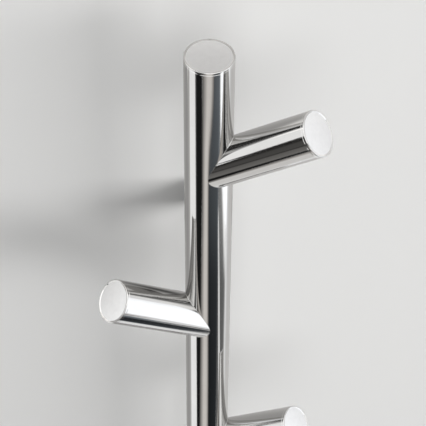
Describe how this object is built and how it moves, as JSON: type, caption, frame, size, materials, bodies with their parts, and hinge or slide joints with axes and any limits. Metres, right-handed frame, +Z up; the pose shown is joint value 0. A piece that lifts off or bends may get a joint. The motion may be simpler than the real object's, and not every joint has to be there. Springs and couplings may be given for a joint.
{
  "type": "wall hook rack",
  "caption": "Vertical polished steel tube with angled round pegs that alternate right and left, held off the wall by hidden standoff sleeves on screwed wall bosses.",
  "frame": {"origin": "on the wall plane, at the centre of the upper fixing", "axes": "+Y into the wall, +Z up along the tube, +X to the right as the rack is looked at"},
  "size_m": [0.0956, 0.1208, 0.514],
  "materials": {
    "polished_steel": "mirror-polished stainless steel",
    "cap_steel": "stainless steel, satin face in a polished rim",
    "sleeve_steel": "polished stainless steel",
    "boss_metal": "turned stainless steel",
    "grub_steel": "black oxide steel",
    "screw_steel": "zinc-plated steel",
    "plug_nylon": "grey nylon"
  },
  "bodies": {
    "wall_fixings": {"upper_wall_boss": "boss_metal", "upper_wall_screw": "screw_steel", "upper_wall_plug": "plug_nylon", "lower_wall_boss": "boss_metal", "lower_wall_screw": "screw_steel", "lower_wall_plug": "plug_nylon"},
    "rack": {"main_tube": "polished_steel", "top_end_cap": "cap_steel", "bottom_end_cap": "cap_steel", "peg_1_right": "polished_steel", "peg_1_end_cap": "cap_steel", "peg_2_left": "polished_steel", "peg_2_end_cap": "cap_steel", "peg_3_right": "polished_steel", "peg_3_end_cap": "cap_steel", "peg_4_left": "polished_steel", "peg_4_end_cap": "cap_steel", "peg_5_right": "polished_steel", "peg_5_end_cap": "cap_steel", "upper_standoff_sleeve": "sleeve_steel", "lower_standoff_sleeve": "sleeve_steel"},
    "upper_grub": {"upper_grub_screw": "grub_steel"},
    "lower_grub": {"lower_grub_screw": "grub_steel"}
  },
  "joints": [
    {"name": "rack_lift_off", "type": "slide", "parent": "wall_fixings", "child": "rack", "axis": [0, -1, 0], "range_m": [0, 0.024]},
    {"name": "upper_grub_thread", "type": "slide", "parent": "rack", "child": "upper_grub", "axis": [0, 0, -1], "range_m": [0, 0.003]},
    {"name": "lower_grub_thread", "type": "slide", "parent": "rack", "child": "lower_grub", "axis": [0, 0, -1], "range_m": [0, 0.003]}
  ]
}
